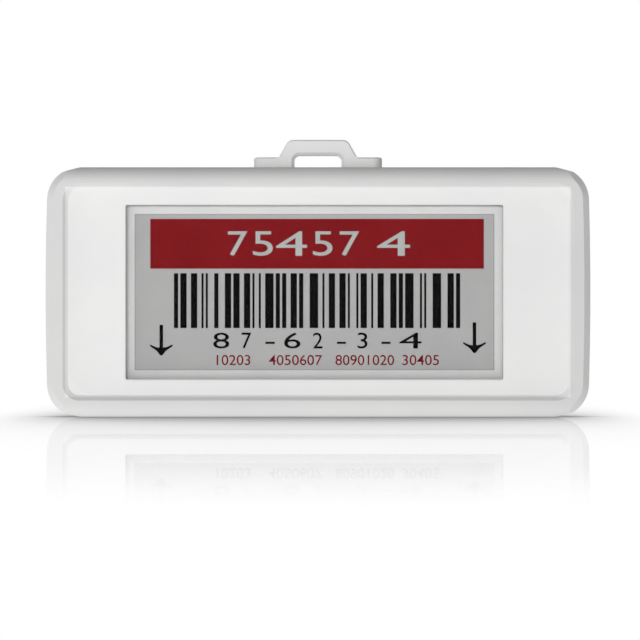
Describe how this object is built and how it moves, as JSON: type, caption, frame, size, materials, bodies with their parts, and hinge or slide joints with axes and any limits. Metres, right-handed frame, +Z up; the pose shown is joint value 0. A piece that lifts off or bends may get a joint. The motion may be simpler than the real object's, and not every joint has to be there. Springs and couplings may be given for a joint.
{
  "type": "nfc e-paper tag",
  "caption": "Slim white tag with a wide e-paper panel behind a clear lens, a raised rolled rim and a plug-in hanging loop in its top edge.",
  "frame": {"origin": "middle of the footprint, on the lower long edge that the tag stands on", "axes": "+Z up towards the hanging loop, -Y out of the face towards the reader, +X to the reader's right"},
  "size_m": [0.101, 0.0096, 0.0516],
  "materials": {
    "case_white": "white ABS, fine spark-eroded mould texture",
    "lens_clear": "clear moulded acrylic, polished",
    "tape_white": "double-sided tape, die-cut",
    "film_clear": "protective film, anti-glare coat",
    "ink_grey": "laminated ink film, matte",
    "seal_clear": "cured sealant bead, satin",
    "panel_glass": "display backplane glass, cut",
    "silicon": "bare silicon die, polished",
    "flex_amber": "polyimide flex over copper",
    "foam_black": "closed-cell foam, die-cut",
    "carrier_grey": "dark ABS, moulded",
    "ferrite_grey": "sintered ferrite sheet in film",
    "board_green": "solder-masked glass-epoxy laminate",
    "screw_steel": "zinc-plated steel, cold-headed",
    "copper_masked": "etched copper under solder mask",
    "chip_black": "moulded epoxy package",
    "inductor_grey": "pressed iron-powder block",
    "ceramic_tan": "fired ceramic with tinned ends",
    "resistor_black": "glazed alumina chip with tinned ends",
    "connector_ivory": "moulded nylon, natural",
    "latch_black": "moulded nylon, black"
  },
  "bodies": {
    "case": {"front_shell": "case_white", "rear_cover": "case_white", "window_lens": "lens_clear", "lens_tape": "tape_white", "protective_film": "film_clear", "ink_film": "ink_grey", "edge_seal": "seal_clear", "display_glass": "panel_glass", "driver_chip": "silicon", "display_flex": "flex_amber", "foam_pad": "foam_black", "display_carrier": "carrier_grey", "ferrite_sheet": "ferrite_grey", "main_board": "board_green", "board_screws": "screw_steel", "antenna_coil": "copper_masked", "nfc_chip": "chip_black", "controller_chip": "chip_black", "boost_inductor": "inductor_grey", "boost_diodes": "chip_black", "boost_transistor": "chip_black", "storage_capacitors": "ceramic_tan", "chip_capacitors": "ceramic_tan", "chip_resistors": "resistor_black", "flex_connector": "connector_ivory", "connector_latch": "latch_black"},
    "hanger": {"hanger": "case_white"}
  },
  "joints": [
    {"name": "hanger_pull", "type": "slide", "parent": "case", "child": "hanger", "axis": [0, 0, 1], "range_m": [0, 0.008]}
  ]
}
